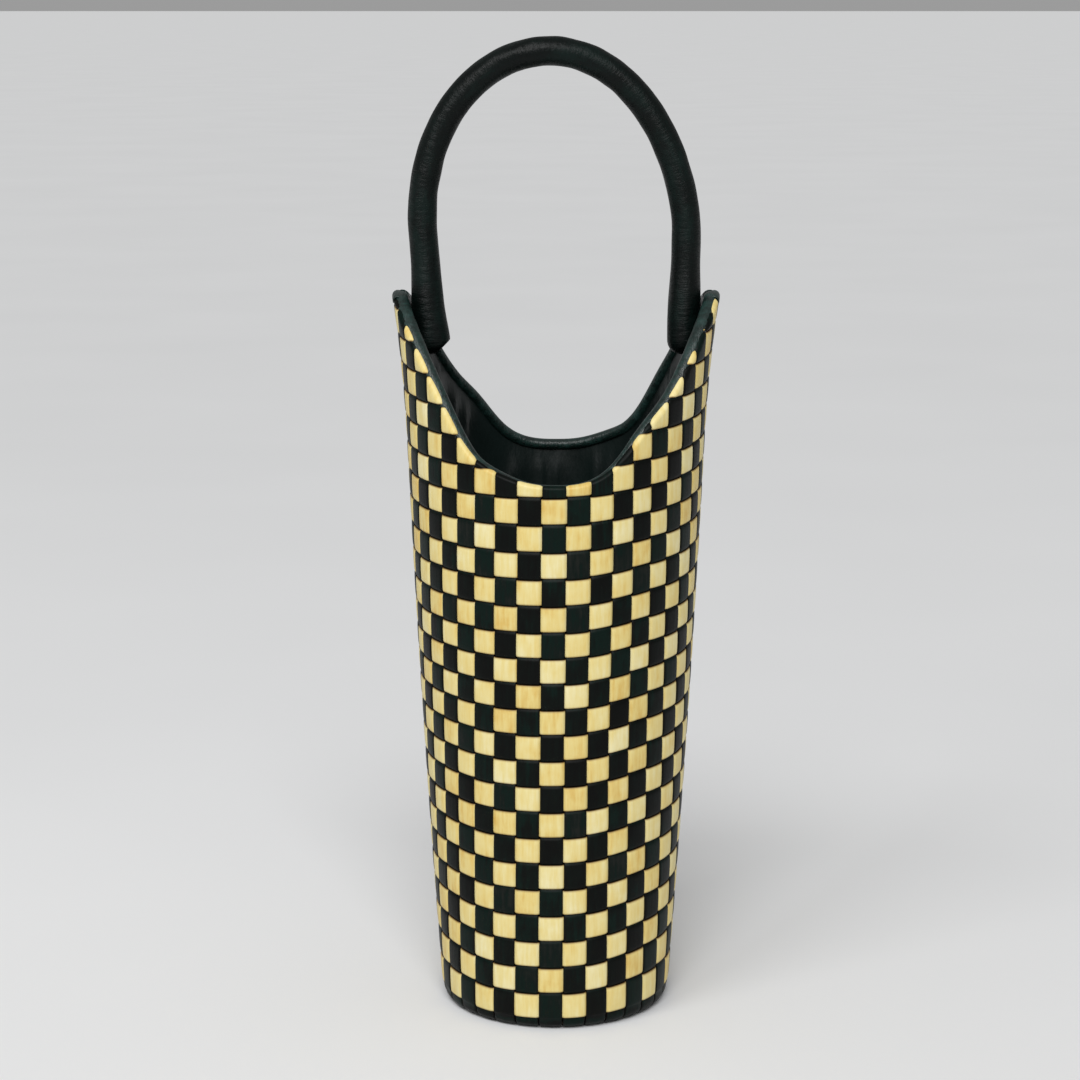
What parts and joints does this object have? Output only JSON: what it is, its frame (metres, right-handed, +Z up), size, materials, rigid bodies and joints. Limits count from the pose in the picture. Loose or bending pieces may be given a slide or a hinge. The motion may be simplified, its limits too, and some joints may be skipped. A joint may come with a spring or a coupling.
{
  "type": "wine gift bag",
  "caption": "Tall tapering bottle bag woven from two-tone leather-like strips, with a scooped rim, side peaks, satin lining, stiff base and a padded loop handle.",
  "frame": {"origin": "centre of the flat underside of the base, on the surface the bag stands on", "axes": "+Z up the bag to the handle, the front faces -Y, and the two side peaks and the handle's legs lie along X"},
  "size_m": [0.1408, 0.1278, 0.431],
  "materials": {
    "cream_strip": "satin",
    "green_strip": "satin",
    "green_leather": "satin",
    "satin": "satin",
    "board": "matte",
    "thread": "matte",
    "felt": "matte",
    "padding": "matte"
  },
  "bodies": {
    "bag": {"weft_row_01": "cream_strip", "weft_row_02": "cream_strip", "weft_row_03": "cream_strip", "weft_row_04": "cream_strip", "weft_row_05": "cream_strip", "weft_row_06": "cream_strip", "weft_row_07": "cream_strip", "weft_row_08": "cream_strip", "weft_row_09": "cream_strip", "weft_row_10": "cream_strip", "weft_row_11": "cream_strip", "weft_row_12": "cream_strip", "weft_row_13": "cream_strip", "weft_row_14": "cream_strip", "weft_row_15": "cream_strip", "weft_row_16": "cream_strip", "weft_row_17": "cream_strip", "weft_row_18": "cream_strip", "weft_row_19": "cream_strip", "weft_row_20": "cream_strip", "weft_row_21": "cream_strip", "weft_row_22": "cream_strip", "weft_row_23": "cream_strip", "weft_row_24": "cream_strip", "weft_row_25": "cream_strip", "weft_row_26": "cream_strip", "weft_row_27": "cream_strip", "warps_front_left": "green_strip", "warps_front_centre": "green_strip", "warps_front_right": "green_strip", "warps_back_left": "green_strip", "warps_back_centre": "green_strip", "warps_back_right": "green_strip", "side_seam_left": "green_strip", "side_seam_right": "green_strip", "rim_binding_front": "green_leather", "rim_binding_back": "green_leather", "rim_stitches": "thread", "interlining": "felt", "lining": "satin", "lining_floor": "satin", "base_board": "board", "base_cover": "green_leather", "base_stitches": "thread", "handle_patch_left": "green_leather", "handle_patch_right": "green_leather", "handle_pad_left": "felt", "handle_pad_right": "felt", "handle_tack_left": "thread", "handle_tack_right": "thread"},
    "handle": {"handle_core": "padding", "handle_cover": "green_leather", "handle_tip_left": "green_leather", "handle_tip_right": "green_leather", "handle_stitches": "thread"}
  },
  "joints": [
    {"name": "handle_swing", "type": "hinge", "parent": "bag", "child": "handle", "pos_m": [0, 0, 0.308], "axis": [1, 0, 0], "range_deg": [-35, 35], "stiffness_Nm_per_rad": 0.25}
  ]
}
